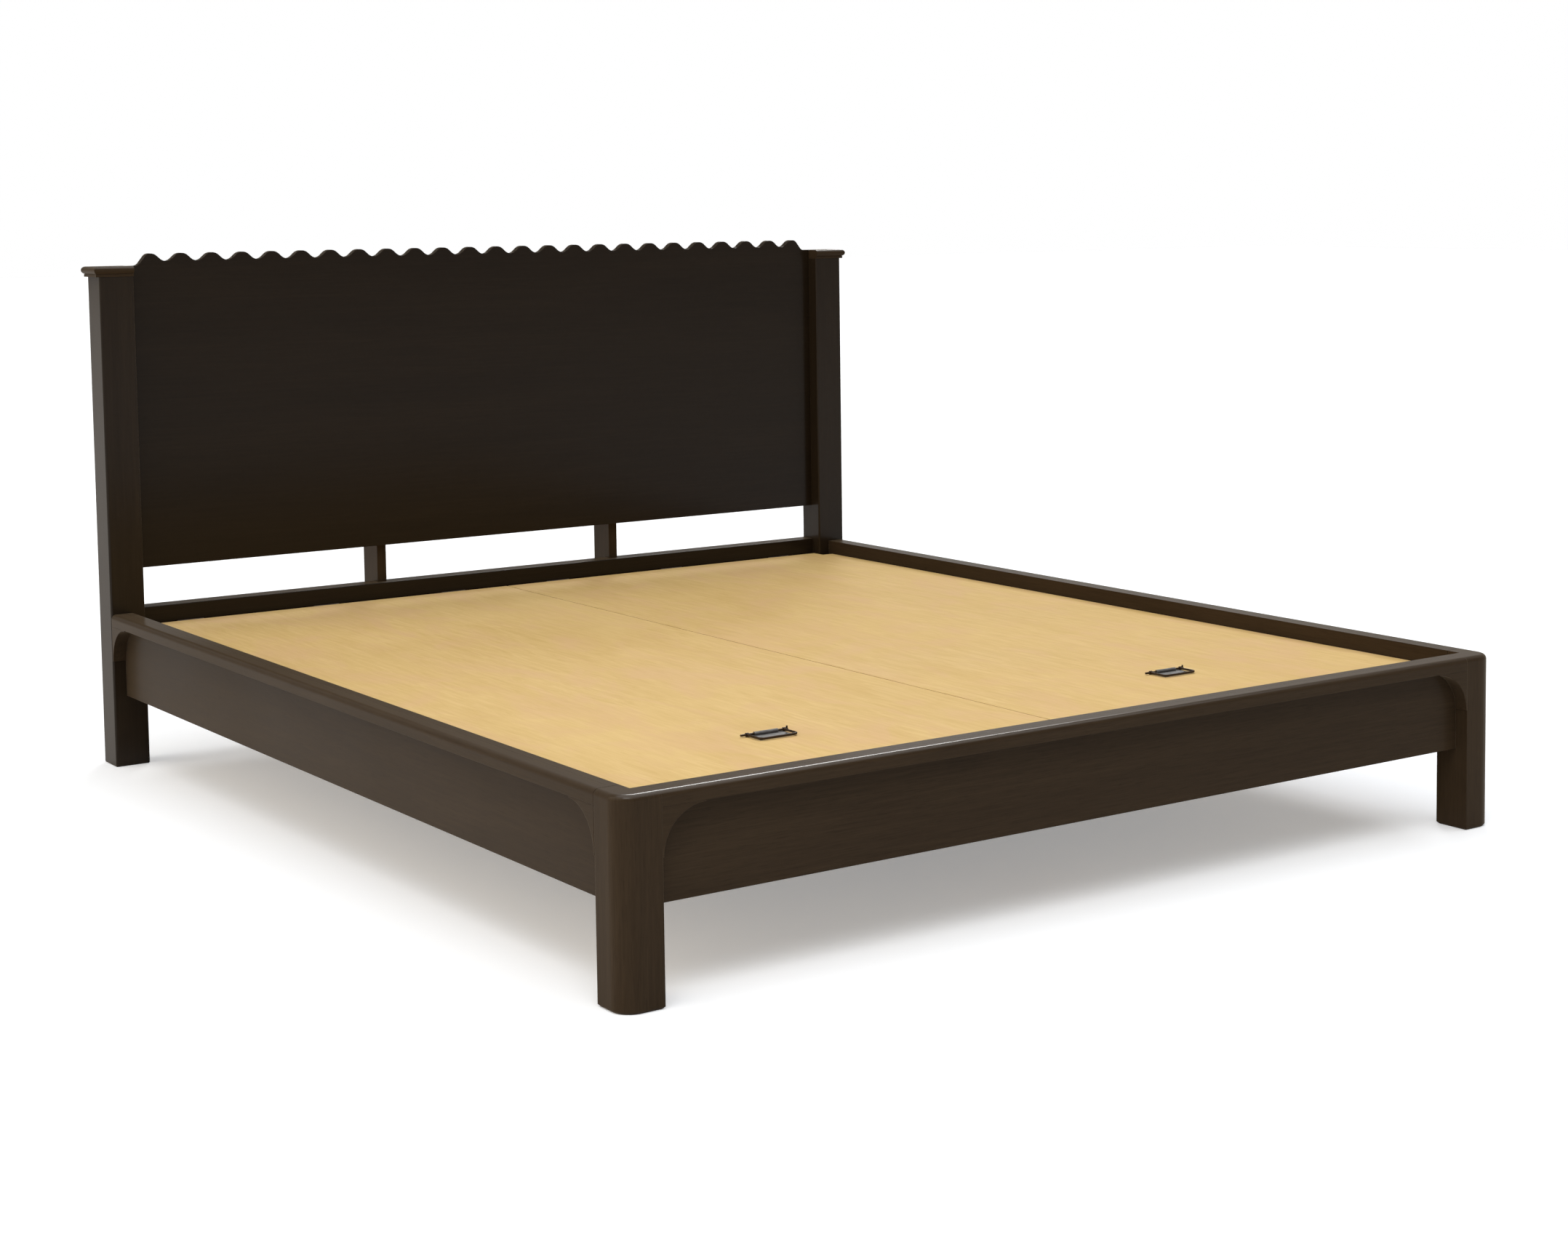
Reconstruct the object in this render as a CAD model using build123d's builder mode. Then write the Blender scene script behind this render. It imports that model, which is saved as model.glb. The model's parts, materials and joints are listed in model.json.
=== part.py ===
import os
from math import cos, radians, sin
from build123d import *

# Platform bed, millimetres, +Z up, foot at -Y, headboard at +Y, X = 0 on the long centre line.
# Lengths along the bed are given as distances from the front face of the foot legs.
LENGTH = 2310.0
FOOT = -LENGTH / 2.0
HALF_WIDTH = 965.0

LEG = 75.0
LEG_CORNER = 35.0
INNER_X = HALF_WIDTH - LEG
RAIL_TOP = 335.0
RAIL_BOTTOM = 155.0
SKIN = 18.0
BAND = 28.0
BAND_BOTTOM = 310.0
WALL = SKIN + BAND
EDGE_ROUND = 10.0
ARCH_RADIUS = 75.0
ARCH_LAND = 2.0
SEAM = 1.0
FOOT_CHAMFER = 4.0
SOFT_EDGE = 2.0

POST_FRONT = 2185.0
POST_BACK = POST_FRONT + LEG
POST_HEIGHT = 1065.0
POST_CORNER = 4.0
POST_CHAMFER = 2.0
CAP_COVE = 6.0
CAP_HEIGHT = 22.0
CAP_SIDE = 12.0
CAP_FRONT = 6.0
CAP_STEP = 5.0
CAP_ROUND = 7.9

PANEL_FRONT = 2217.0
PANEL_BACK = 2235.0
PANEL_BOTTOM = 427.0
WAVE_PITCH = 70.0
WAVE_COUNT = 25
WAVE_PEAK = 1113.0
WAVE_VALLEY = 1096.0
WAVE_END = 1087.0
WAVE_ANGLE = 42.0
WAVE_END_ANGLE = 52.0

HEAD_RAIL_FRONT = 2215.0
HEAD_RAIL_TOP = 340.0
RIB_CENTRE = 308.0
RIB_WIDTH = 22.0
RIB_TOP = 1060.0
RIB_BOTTOM = 165.0

PLY = 18.0
LID_UNDER = 285.0
LID_TOP = LID_UNDER + PLY
LID_FOOT = 49.0
LID_HEAD = 2205.0
LID_SIDE = 916.0
LID_SEAM = 1.5
NOTCH_X = 887.0
NOTCH_Y = 2164.0
REST = LID_UNDER - 0.3
LID_CHAMFER = 0.8

CLEAT = 25.0
CLEAT_BOTTOM = 247.0
BEAM_HALF = 20.0
BEAM_TENON = 12.0
CENTRE_LEG = 40.0
CENTRE_LEG_CORNER = 3.0
CENTRE_LEG_AT = (760.0, 1480.0)
GLIDE = 5.0
GLIDE_RADIUS = 14.0
GLIDE_ROUND = 1.5
FLOOR_TOP = 180.0
FLOOR_UNDER = 168.0
FLOOR_GAP = 0.5
BATTEN = 20.0

HINGE_Y = 2210.0
HINGE_Z = 300.0
HINGE_RADIUS = 4.0
HINGE_PIN = 1.9
HINGE_LENGTH = 60.0
LID_CENTRE = 459.0
HINGE_OFFSETS = (-320.0, 0.0, 320.0)
LEAF = 1.5
RAIL_LEAF_BOTTOM = 262.0
LID_LEAF_BOTTOM = 286.0
LEAF_TOP = 295.5
KNUCKLE_PITCH = HINGE_LENGTH / 5.0
KNUCKLE_GAP = 0.15
HINGE_SCREWS_AT = (-20.0, 20.0)
RAIL_LEAF_SCREW_Z = 274.0
LID_LEAF_SCREW_Z = 290.7
RAIL_HINGE_SCREW = 1.6
LID_HINGE_SCREW = 1.2
HINGE_SCREW_DEPTH = 20.0
RAIL_HINGE_SCREW_HEAD = 1.2
LID_HINGE_SCREW_HEAD = 1.0
SCREW_FIT = 0.05
SCREW_TIP_GAP = 0.5
PIN_FIT = 0.02
KNUCKLE_FIT = 0.06

HANDLE_Y = 376.0
HANDLE_Z = LID_TOP + 3.9
PLATE_HALF = 34.5
PLATE_FOOT = 338.0
PLATE_HEAD = 392.0
PLATE_THICK = 1.2
BAIL_HALF = 38.0
BAIL_FOOT = 333.0
BAIL_BEND = 8.0
WIRE = 2.0
EYE = 3.5
EYE_WIDTH = 5.0
BARREL_HALF = 24.0
PIN_LEFT = 51.0
PIN_RIGHT = 45.0
PIN_UPTURN = 5.5
PIN_UPTURN_RADIUS = 1.6
HANDLE_SCREWS = ((-26.0, 350.0), (26.0, 350.0))
HANDLE_SCREW = 1.6
HANDLE_SCREW_HEAD = 3.4
HANDLE_SCREW_HEAD_HEIGHT = 1.4
HANDLE_HOLE_BOTTOM = LID_UNDER + 6.0
HANDLE_SCREW_TIP = HANDLE_HOLE_BOTTOM + SCREW_TIP_GAP
BAIL_FIT = 0.07

HOOK_TOP = 275.0
HOOK_BOTTOM = 175.0
HOOK_AT = (195.0, 245.0)
HOOK_X0 = 921.0
HOOK_X1 = 935.0
HOOK_CENTRE = (HOOK_X0 + HOOK_X1) / 2.0
HOOK_RECESS = 13.0
HOOK_PLATE = 2.5
HOOK_BLADE_HALF = 1.5
HOOK_SLOT_HALF = 2.5
HOOK_REACH = 8.0
HOOK_LIP = 4.0
HOOK_HEIGHT = 12.0
HOOK_DROP = 8.0
HOOK_SLOT_BELOW = 10.0
HOOK_SLOT_ABOVE = 22.0

SIDE_SCREWS_AT = (250.0, 650.0, 1050.0, 1450.0, 1850.0)
FOOT_SCREWS_AT = (-700.0, -250.0, 250.0, 700.0)
CLEAT_SCREW_Z = 266.0
CLEAT_SCREW = 2.0
CLEAT_SCREW_BITE = 8.0
CLEAT_SCREW_HEAD = 4.0
CLEAT_SCREW_HEAD_HEIGHT = 1.5


def slab(x0, x1, d0, d1, z0, z1, mode=Mode.ADD):
    """Rectangular block between two x, two distances from the foot and two heights."""
    with BuildSketch(Plane.XY.offset(z0)) as outline:
        with Locations(((x0 + x1) / 2.0, FOOT + (d0 + d1) / 2.0)):
            Rectangle(abs(x1 - x0), abs(d1 - d0))
    extrude(outline.sketch, amount=z1 - z0, mode=mode)


def across(d):
    """Plane facing the foot at distance d: local x is X, local y is Z."""
    return Plane(origin=(0, FOOT + d, 0), x_dir=(1, 0, 0), z_dir=(0, -1, 0))


def along(x):
    """Plane facing +X at x: local x is the distance from the foot, local y is Z."""
    return Plane(origin=(x, FOOT, 0), x_dir=(0, 1, 0), z_dir=(1, 0, 0))


def rod(plane, u, v, radius, length, mode=Mode.ADD):
    """Round bar standing on a plane at local (u, v)."""
    with BuildSketch(plane) as disc:
        with Locations((u, v)):
            Circle(radius)
    extrude(disc.sketch, amount=length, mode=mode)


def edges_where(part, test):
    """Edges of the part whose centre passes the test."""
    return part.edges().filter_by(lambda e: test(e.center()))


# ---------------------------------------------------------------- foot legs
with BuildPart() as left_foot_leg:
    slab(-HALF_WIDTH, -INNER_X, 0, LEG, 0, RAIL_TOP)
    corner = left_foot_leg.edges().filter_by(Axis.Z).sort_by(Axis.X)[:2].sort_by(Axis.Y)[0]
    fillet(corner, LEG_CORNER)
    slab(-HALF_WIDTH + WALL, -INNER_X, WALL, LEG, REST, RAIL_TOP, Mode.SUBTRACT)
    top = left_foot_leg.faces().sort_by(Axis.Z)[-1].edges()
    rim = top.filter_by(lambda e: e.center().X < -HALF_WIDTH + 15 or e.center().Y < FOOT + 15)
    fillet(rim.filter_by(lambda e: e.length > 30), EDGE_ROUND)
    chamfer(left_foot_leg.faces().sort_by(Axis.Z)[0].edges(), FOOT_CHAMFER)
    slab(-HOOK_X1, -HOOK_X0, LEG - HOOK_RECESS, LEG, HOOK_BOTTOM, HOOK_TOP, Mode.SUBTRACT)

with BuildPart() as right_foot_leg:
    mirror(left_foot_leg.part, about=Plane.YZ)

# ---------------------------------------------------------------- foot rail
with BuildPart() as foot_rail_panel:
    slab(-INNER_X, INNER_X, BAND, WALL, RAIL_BOTTOM, RAIL_TOP)
    for x in FOOT_SCREWS_AT:
        rod(across(WALL), x, CLEAT_SCREW_Z, CLEAT_SCREW + SCREW_FIT, CLEAT_SCREW_BITE, Mode.SUBTRACT)

with BuildPart() as foot_rail_band:
    slab(-INNER_X, INNER_X, 0, BAND, BAND_BOTTOM, RAIL_TOP)
    front_edges = foot_rail_band.edges().filter_by(Axis.X).sort_by(Axis.Y)[:2]
    fillet(front_edges.sort_by(Axis.Z)[-1], EDGE_ROUND)


def arch(plane, u, toward, z):
    """Corner block with a quarter circle that runs out into its two neighbours."""
    side = ARCH_RADIUS + ARCH_LAND
    with BuildSketch(plane) as outline:
        with Locations((u + toward * side / 2.0, z - side / 2.0)):
            Rectangle(side, side)
        with Locations((u + toward * side, z - side)):
            Circle(ARCH_RADIUS, mode=Mode.SUBTRACT)
    extrude(outline.sketch, amount=BAND)


with BuildPart() as left_foot_arch_block:
    arch(across(BAND), -INNER_X, 1, BAND_BOTTOM)

with BuildPart() as right_foot_arch_block:
    mirror(left_foot_arch_block.part, about=Plane.YZ)

# ---------------------------------------------------------------- side rails
RAIL_START = LEG + SEAM
RAIL_END = POST_FRONT - SEAM

with BuildPart() as left_side_rail_panel:
    slab(-HALF_WIDTH + BAND, -HALF_WIDTH + WALL, RAIL_START, RAIL_END, RAIL_BOTTOM, RAIL_TOP)
    for d0, d1 in ((RAIL_START, RAIL_START + HOOK_PLATE), (RAIL_END - HOOK_PLATE, RAIL_END)):
        slab(-HOOK_X1, -HOOK_X0, d0, d1, HOOK_BOTTOM, HOOK_TOP, Mode.SUBTRACT)
    for d in SIDE_SCREWS_AT:
        rod(along(-HALF_WIDTH + WALL - CLEAT_SCREW_BITE), d, CLEAT_SCREW_Z, CLEAT_SCREW + SCREW_FIT,
            CLEAT_SCREW_BITE, Mode.SUBTRACT)

with BuildPart() as right_side_rail_panel:
    mirror(left_side_rail_panel.part, about=Plane.YZ)

with BuildPart() as left_side_rail_band:
    slab(-HALF_WIDTH, -HALF_WIDTH + BAND, RAIL_START, RAIL_END, BAND_BOTTOM, RAIL_TOP)
    outer_edges = left_side_rail_band.edges().filter_by(Axis.Y).sort_by(Axis.X)[:2]
    fillet(outer_edges.sort_by(Axis.Z)[-1], EDGE_ROUND)

with BuildPart() as right_side_rail_band:
    mirror(left_side_rail_band.part, about=Plane.YZ)

with BuildPart() as left_side_front_arch_block:
    arch(along(-HALF_WIDTH), RAIL_START, 1, BAND_BOTTOM)

with BuildPart() as left_side_rear_arch_block:
    arch(along(-HALF_WIDTH), RAIL_END, -1, BAND_BOTTOM)

with BuildPart() as right_side_front_arch_block:
    mirror(left_side_front_arch_block.part, about=Plane.YZ)

with BuildPart() as right_side_rear_arch_block:
    mirror(left_side_rear_arch_block.part, about=Plane.YZ)

# ---------------------------------------------------------------- headboard
with BuildPart() as left_headboard_post:
    slab(-HALF_WIDTH, -INNER_X, POST_FRONT, POST_BACK, 0, POST_HEIGHT)
    fillet(left_headboard_post.edges().filter_by(Axis.Z), POST_CORNER)
    chamfer(left_headboard_post.faces().sort_by(Axis.Z)[0].edges(), POST_CHAMFER)
    slab(-HOOK_X1, -HOOK_X0, POST_FRONT, POST_FRONT + HOOK_RECESS, HOOK_BOTTOM, HOOK_TOP, Mode.SUBTRACT)

with BuildPart() as right_headboard_post:
    mirror(left_headboard_post.part, about=Plane.YZ)

CAP_X0 = -HALF_WIDTH - CAP_SIDE
CAP_TOP = POST_HEIGHT + CAP_HEIGHT
with BuildPart() as left_post_cap:
    slab(CAP_X0, -INNER_X, POST_FRONT - CAP_FRONT, POST_BACK + CAP_FRONT,
         POST_HEIGHT + CAP_COVE, CAP_TOP)
    rim = left_post_cap.edges().filter_by(lambda e: abs(e.tangent_at(0.5).Z) < 0.1
                                          and e.center().X < -INNER_X - 1)
    fillet(rim, CAP_ROUND)
    slab(CAP_X0 + CAP_STEP, -INNER_X, POST_FRONT - CAP_FRONT + CAP_STEP,
         POST_BACK + CAP_FRONT - CAP_STEP, POST_HEIGHT, POST_HEIGHT + CAP_COVE)

with BuildPart() as right_post_cap:
    mirror(left_post_cap.part, about=Plane.YZ)


def swing(x0, z0, x1, z1, angle):
    """Half a wave from one level point to the next: arc, straight slope, arc."""
    s = sin(radians(angle))
    c = cos(radians(angle))
    up = 1 if z1 > z0 else -1
    radius = ((x1 - x0) * s - abs(z1 - z0) * c) / (2 * (1 - c))
    run = radius * s
    rise = up * radius * (1 - c)
    mid_run = radius * sin(radians(angle / 2))
    mid_rise = up * radius * (1 - cos(radians(angle / 2)))
    ThreePointArc((x0, z0), (x0 + mid_run, z0 + mid_rise), (x0 + run, z0 + rise))
    Line((x0 + run, z0 + rise), (x1 - run, z1 - rise))
    ThreePointArc((x1 - run, z1 - rise), (x1 - mid_run, z1 - mid_rise), (x1, z1))


with BuildPart() as headboard_panel:
    reach = WAVE_PITCH * (WAVE_COUNT - 1) / 2.0
    half = WAVE_PITCH / 2.0
    with BuildSketch(across(PANEL_BACK)) as face:
        with BuildLine():
            swing(-reach - half, WAVE_END, -reach, WAVE_PEAK, WAVE_END_ANGLE)
            for i in range(WAVE_COUNT - 1):
                x = -reach + i * WAVE_PITCH
                swing(x, WAVE_PEAK, x + half, WAVE_VALLEY, WAVE_ANGLE)
                swing(x + half, WAVE_VALLEY, x + WAVE_PITCH, WAVE_PEAK, WAVE_ANGLE)
            swing(reach, WAVE_PEAK, reach + half, WAVE_END, WAVE_END_ANGLE)
            Polyline((reach + half, WAVE_END), (INNER_X, WAVE_END), (INNER_X, PANEL_BOTTOM),
                     (-INNER_X, PANEL_BOTTOM), (-INNER_X, WAVE_END), (-reach - half, WAVE_END))
        make_face()
    extrude(face.sketch, amount=PANEL_BACK - PANEL_FRONT)

with BuildPart() as head_rail:
    slab(-INNER_X, INNER_X, HEAD_RAIL_FRONT, POST_BACK, RAIL_BOTTOM, HEAD_RAIL_TOP)
    fillet(head_rail.edges().filter_by(Axis.X), SOFT_EDGE)
    for side in (-1, 1):
        for offset in HINGE_OFFSETS:
            for du in HINGE_SCREWS_AT:
                rod(across(HEAD_RAIL_FRONT + HINGE_SCREW_DEPTH), side * LID_CENTRE + offset + du,
                    RAIL_LEAF_SCREW_Z, RAIL_HINGE_SCREW + SCREW_FIT, HINGE_SCREW_DEPTH, Mode.SUBTRACT)

with BuildPart() as left_headboard_rib:
    with BuildSketch(along(-RIB_CENTRE - RIB_WIDTH / 2.0)) as side_view:
        with BuildLine():
            Polyline((PANEL_BACK, HEAD_RAIL_TOP), (POST_BACK, HEAD_RAIL_TOP), (POST_BACK, RIB_BOTTOM),
                     (LENGTH, RIB_BOTTOM), (LENGTH, RIB_TOP), (PANEL_BACK, RIB_TOP), close=True)
        make_face()
    extrude(side_view.sketch, amount=RIB_WIDTH)
    fillet(edges_where(left_headboard_rib, lambda c: c.Y > FOOT + LENGTH - 1
                       and RIB_BOTTOM + 5 < c.Z < RIB_TOP - 5), SOFT_EDGE)

with BuildPart() as right_headboard_rib:
    mirror(left_headboard_rib.part, about=Plane.YZ)

# ---------------------------------------------------------------- inner frame
with BuildPart() as left_side_cleat:
    slab(-HALF_WIDTH + WALL, -HALF_WIDTH + WALL + CLEAT, RAIL_START, RAIL_END, CLEAT_BOTTOM, REST)
    for d in SIDE_SCREWS_AT:
        rod(along(-HALF_WIDTH + WALL), d, CLEAT_SCREW_Z, CLEAT_SCREW + SCREW_FIT, CLEAT, Mode.SUBTRACT)

with BuildPart() as right_side_cleat:
    mirror(left_side_cleat.part, about=Plane.YZ)

with BuildPart() as foot_cleat:
    slab(-INNER_X + 1, INNER_X - 1, WALL, WALL + CLEAT, CLEAT_BOTTOM, REST)
    slab(-BEAM_HALF, BEAM_HALF, WALL, WALL + CLEAT, CLEAT_BOTTOM, REST - BEAM_TENON, Mode.SUBTRACT)
    for x in FOOT_SCREWS_AT:
        rod(across(WALL + CLEAT), x, CLEAT_SCREW_Z, CLEAT_SCREW + SCREW_FIT, CLEAT, Mode.SUBTRACT)

with BuildPart() as centre_beam:
    slab(-BEAM_HALF, BEAM_HALF, WALL + CLEAT, HEAD_RAIL_FRONT, RAIL_BOTTOM, REST)
    slab(-BEAM_HALF, BEAM_HALF, WALL, WALL + CLEAT, RAIL_BOTTOM, REST - BEAM_TENON)

with BuildPart() as front_centre_leg:
    slab(-CENTRE_LEG / 2, CENTRE_LEG / 2, CENTRE_LEG_AT[0] - CENTRE_LEG / 2,
         CENTRE_LEG_AT[0] + CENTRE_LEG / 2, GLIDE, RAIL_BOTTOM)
    fillet(front_centre_leg.edges().filter_by(Axis.Z), CENTRE_LEG_CORNER)

with BuildPart() as rear_centre_leg:
    slab(-CENTRE_LEG / 2, CENTRE_LEG / 2, CENTRE_LEG_AT[1] - CENTRE_LEG / 2,
         CENTRE_LEG_AT[1] + CENTRE_LEG / 2, GLIDE, RAIL_BOTTOM)
    fillet(rear_centre_leg.edges().filter_by(Axis.Z), CENTRE_LEG_CORNER)

with BuildPart() as centre_leg_glides:
    for d in CENTRE_LEG_AT:
        rod(Plane.XY, 0, FOOT + d, GLIDE_RADIUS, GLIDE)
    fillet(centre_leg_glides.faces().filter_by(Axis.Z).sort_by(Axis.Z)[:2].edges(), GLIDE_ROUND)

with BuildPart() as left_storage_floor:
    slab(-HALF_WIDTH + WALL + FLOOR_GAP, -BEAM_HALF - FLOOR_GAP, WALL + FLOOR_GAP,
         HEAD_RAIL_FRONT - FLOOR_GAP, FLOOR_UNDER, FLOOR_TOP)
    slab(-HALF_WIDTH, -INNER_X + FLOOR_GAP, 0, LEG + FLOOR_GAP, FLOOR_UNDER, FLOOR_TOP, Mode.SUBTRACT)
    slab(-HALF_WIDTH, -INNER_X + FLOOR_GAP, POST_FRONT - FLOOR_GAP, POST_BACK, FLOOR_UNDER, FLOOR_TOP,
         Mode.SUBTRACT)

with BuildPart() as right_storage_floor:
    mirror(left_storage_floor.part, about=Plane.YZ)

with BuildPart() as floor_battens:
    for side in (-1, 1):
        slab(side * (HALF_WIDTH - WALL), side * (HALF_WIDTH - WALL - BATTEN), RAIL_START, RAIL_END,
             RAIL_BOTTOM, FLOOR_UNDER)
        slab(side * BEAM_HALF, side * (BEAM_HALF + BATTEN), RAIL_START, RAIL_END,
             RAIL_BOTTOM, FLOOR_UNDER)

# ---------------------------------------------------------------- bed rail hooks


def inward(a, b, at_head):
    """Two depths into the leg or post, measured from its face, as foot distances."""
    if at_head:
        return POST_FRONT + a, POST_FRONT + b
    return LEG - b, LEG - a


with BuildPart() as rail_hook_plates:
    for side in (-1, 1):
        x0 = side * (HOOK_CENTRE - HOOK_BLADE_HALF)
        x1 = side * (HOOK_CENTRE + HOOK_BLADE_HALF)
        for at_head in (False, True):
            d0, d1 = inward(-SEAM - HOOK_PLATE, -SEAM, at_head)
            slab(side * HOOK_X0, side * HOOK_X1, d0, d1, HOOK_BOTTOM, HOOK_TOP)
            for z in HOOK_AT:
                d0, d1 = inward(-SEAM, HOOK_REACH, at_head)
                slab(x0, x1, d0, d1, z, z + HOOK_HEIGHT)
                d0, d1 = inward(HOOK_LIP, HOOK_REACH, at_head)
                slab(x0, x1, d0, d1, z - HOOK_DROP, z)

with BuildPart() as post_keyhole_plates:
    for side in (-1, 1):
        x0 = side * (HOOK_CENTRE - HOOK_SLOT_HALF)
        x1 = side * (HOOK_CENTRE + HOOK_SLOT_HALF)
        for at_head in (False, True):
            d0, d1 = inward(0.0, HOOK_PLATE, at_head)
            slab(side * HOOK_X0, side * HOOK_X1, d0, d1, HOOK_BOTTOM, HOOK_TOP)
            for z in HOOK_AT:
                slab(x0, x1, d0, d1, z - HOOK_SLOT_BELOW, z + HOOK_SLOT_ABOVE, Mode.SUBTRACT)

# ---------------------------------------------------------------- platform lids
with BuildPart() as left_platform_panel:
    slab(-LID_SIDE, -LID_SEAM, LID_FOOT, LID_HEAD, LID_UNDER, LID_TOP)
    slab(-LID_SIDE, -NOTCH_X, NOTCH_Y, LID_HEAD, LID_UNDER, LID_TOP, Mode.SUBTRACT)
    chamfer(left_platform_panel.faces().sort_by(Axis.Z)[-1].edges(), LID_CHAMFER)
    for u, d in HANDLE_SCREWS:
        rod(Plane.XY.offset(HANDLE_HOLE_BOTTOM), -LID_CENTRE + u, FOOT + d, HANDLE_SCREW + SCREW_FIT,
            LID_TOP - HANDLE_HOLE_BOTTOM, Mode.SUBTRACT)
    for offset in HINGE_OFFSETS:
        for du in HINGE_SCREWS_AT:
            rod(across(LID_HEAD), -LID_CENTRE + offset + du, LID_LEAF_SCREW_Z,
                LID_HINGE_SCREW + SCREW_FIT, HINGE_SCREW_DEPTH, Mode.SUBTRACT)

with BuildPart() as right_platform_panel:
    mirror(left_platform_panel.part, about=Plane.YZ)


def lid_knuckle(x, first):
    """Knuckle ring, a fifth of the hinge long, less the running gap."""
    rod(along(x - HINGE_LENGTH / 2.0 + first * KNUCKLE_PITCH + KNUCKLE_GAP), HINGE_Y, HINGE_Z,
        HINGE_RADIUS, KNUCKLE_PITCH - 2 * KNUCKLE_GAP)


def leaf_tab(x, first, d0):
    """Part of a leaf that rises beside the knuckle it carries."""
    x0 = x - HINGE_LENGTH / 2.0 + first * KNUCKLE_PITCH + KNUCKLE_GAP
    slab(x0, x0 + KNUCKLE_PITCH - 2 * KNUCKLE_GAP, d0, d0 + LEAF, LEAF_TOP, HINGE_Z)


with BuildPart() as lid_hinge_fixed_leaves:
    for side in (-1, 1):
        for offset in HINGE_OFFSETS:
            x = side * LID_CENTRE + offset
            slab(x - HINGE_LENGTH / 2, x + HINGE_LENGTH / 2, HEAD_RAIL_FRONT - LEAF, HEAD_RAIL_FRONT,
                 RAIL_LEAF_BOTTOM, LEAF_TOP)
            for k in (0, 2, 4):
                leaf_tab(x, k, HEAD_RAIL_FRONT - LEAF)
                lid_knuckle(x, k)
            for du in HINGE_SCREWS_AT:
                rod(across(HEAD_RAIL_FRONT), x + du, RAIL_LEAF_SCREW_Z, RAIL_HINGE_SCREW + SCREW_FIT,
                    2 * LEAF, Mode.SUBTRACT)
            rod(along(x - HINGE_LENGTH / 2), HINGE_Y, HINGE_Z, HINGE_PIN + PIN_FIT, HINGE_LENGTH,
                Mode.SUBTRACT)

with BuildPart() as lid_hinge_pins:
    for side in (-1, 1):
        for offset in HINGE_OFFSETS:
            x = side * LID_CENTRE + offset
            rod(along(x - HINGE_LENGTH / 2 - 1), HINGE_Y, HINGE_Z, HINGE_PIN, HINGE_LENGTH + 2)

with BuildPart() as left_lid_hinge_leaves:
    for offset in HINGE_OFFSETS:
        x = -LID_CENTRE + offset
        slab(x - HINGE_LENGTH / 2, x + HINGE_LENGTH / 2, LID_HEAD, LID_HEAD + LEAF,
             LID_LEAF_BOTTOM, LEAF_TOP)
        for k in (1, 3):
            leaf_tab(x, k, LID_HEAD)
            lid_knuckle(x, k)
        for du in HINGE_SCREWS_AT:
            rod(across(LID_HEAD + 2 * LEAF), x + du, LID_LEAF_SCREW_Z, LID_HINGE_SCREW + SCREW_FIT,
                3 * LEAF, Mode.SUBTRACT)
        rod(along(x - HINGE_LENGTH / 2), HINGE_Y, HINGE_Z, HINGE_PIN + KNUCKLE_FIT, HINGE_LENGTH,
            Mode.SUBTRACT)

with BuildPart() as right_lid_hinge_leaves:
    mirror(left_lid_hinge_leaves.part, about=Plane.YZ)

# ---------------------------------------------------------------- lifting handles


def handle_plate(cx):
    """Sheet plate that carries a barrel for the pivot wire and runs on behind it."""
    slab(cx - PLATE_HALF, cx + PLATE_HALF, PLATE_FOOT, PLATE_HEAD, LID_TOP, LID_TOP + PLATE_THICK)
    rod(along(cx - BARREL_HALF), HANDLE_Y, HANDLE_Z, EYE, 2 * BARREL_HALF)
    for u, d in HANDLE_SCREWS:
        rod(Plane.XY.offset(LID_TOP), cx + u, FOOT + d, HANDLE_SCREW + SCREW_FIT, PLATE_THICK,
            Mode.SUBTRACT)
    rod(along(cx - BARREL_HALF), HANDLE_Y, HANDLE_Z, WIRE + PIN_FIT, 2 * BARREL_HALF, Mode.SUBTRACT)


def handle_pin(cx):
    """Pivot wire with a tail on its left and an upturned right end."""
    rod(along(cx - PIN_LEFT), HANDLE_Y, HANDLE_Z, WIRE, PIN_LEFT + PIN_RIGHT)
    rod(Plane.XY.offset(HANDLE_Z), cx + PIN_RIGHT - PIN_UPTURN_RADIUS, FOOT + HANDLE_Y,
        PIN_UPTURN_RADIUS, PIN_UPTURN)


def handle_bail(cx):
    """Wire loop with an eye on the pivot wire at each end."""
    near = FOOT + BAIL_FOOT
    far = FOOT + HANDLE_Y - (WIRE + EYE) / 2.0
    with BuildLine(Plane.XY.offset(HANDLE_Z)) as path:
        Polyline((cx - BAIL_HALF, far), (cx - BAIL_HALF, near), (cx + BAIL_HALF, near),
                 (cx + BAIL_HALF, far))
        fillet(path.vertices().sort_by(Axis.Y)[:2], BAIL_BEND)
    with BuildSketch(Plane(origin=(cx - BAIL_HALF, far, HANDLE_Z), z_dir=(0, -1, 0))) as wire_end:
        Circle(WIRE)
    sweep(wire_end.sketch, path=path.line)
    for x in (cx - BAIL_HALF, cx + BAIL_HALF):
        rod(along(x - EYE_WIDTH / 2.0), HANDLE_Y, HANDLE_Z, EYE, EYE_WIDTH)
    rod(along(cx - PIN_LEFT), HANDLE_Y, HANDLE_Z, WIRE + BAIL_FIT, PIN_LEFT + PIN_RIGHT, Mode.SUBTRACT)


def handle_screws(cx):
    """Two round-head wood screws."""
    for u, d in HANDLE_SCREWS:
        rod(Plane.XY.offset(LID_TOP + PLATE_THICK), cx + u, FOOT + d, HANDLE_SCREW_HEAD,
            HANDLE_SCREW_HEAD_HEIGHT)
        rod(Plane.XY.offset(HANDLE_SCREW_TIP), cx + u, FOOT + d, HANDLE_SCREW,
            LID_TOP + PLATE_THICK - HANDLE_SCREW_TIP)
    rims = edges_where(left_handle_screws if cx < 0 else right_handle_screws,
                       lambda c: c.Z > LID_TOP + PLATE_THICK + 1)
    fillet(rims, 1.0)


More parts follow.
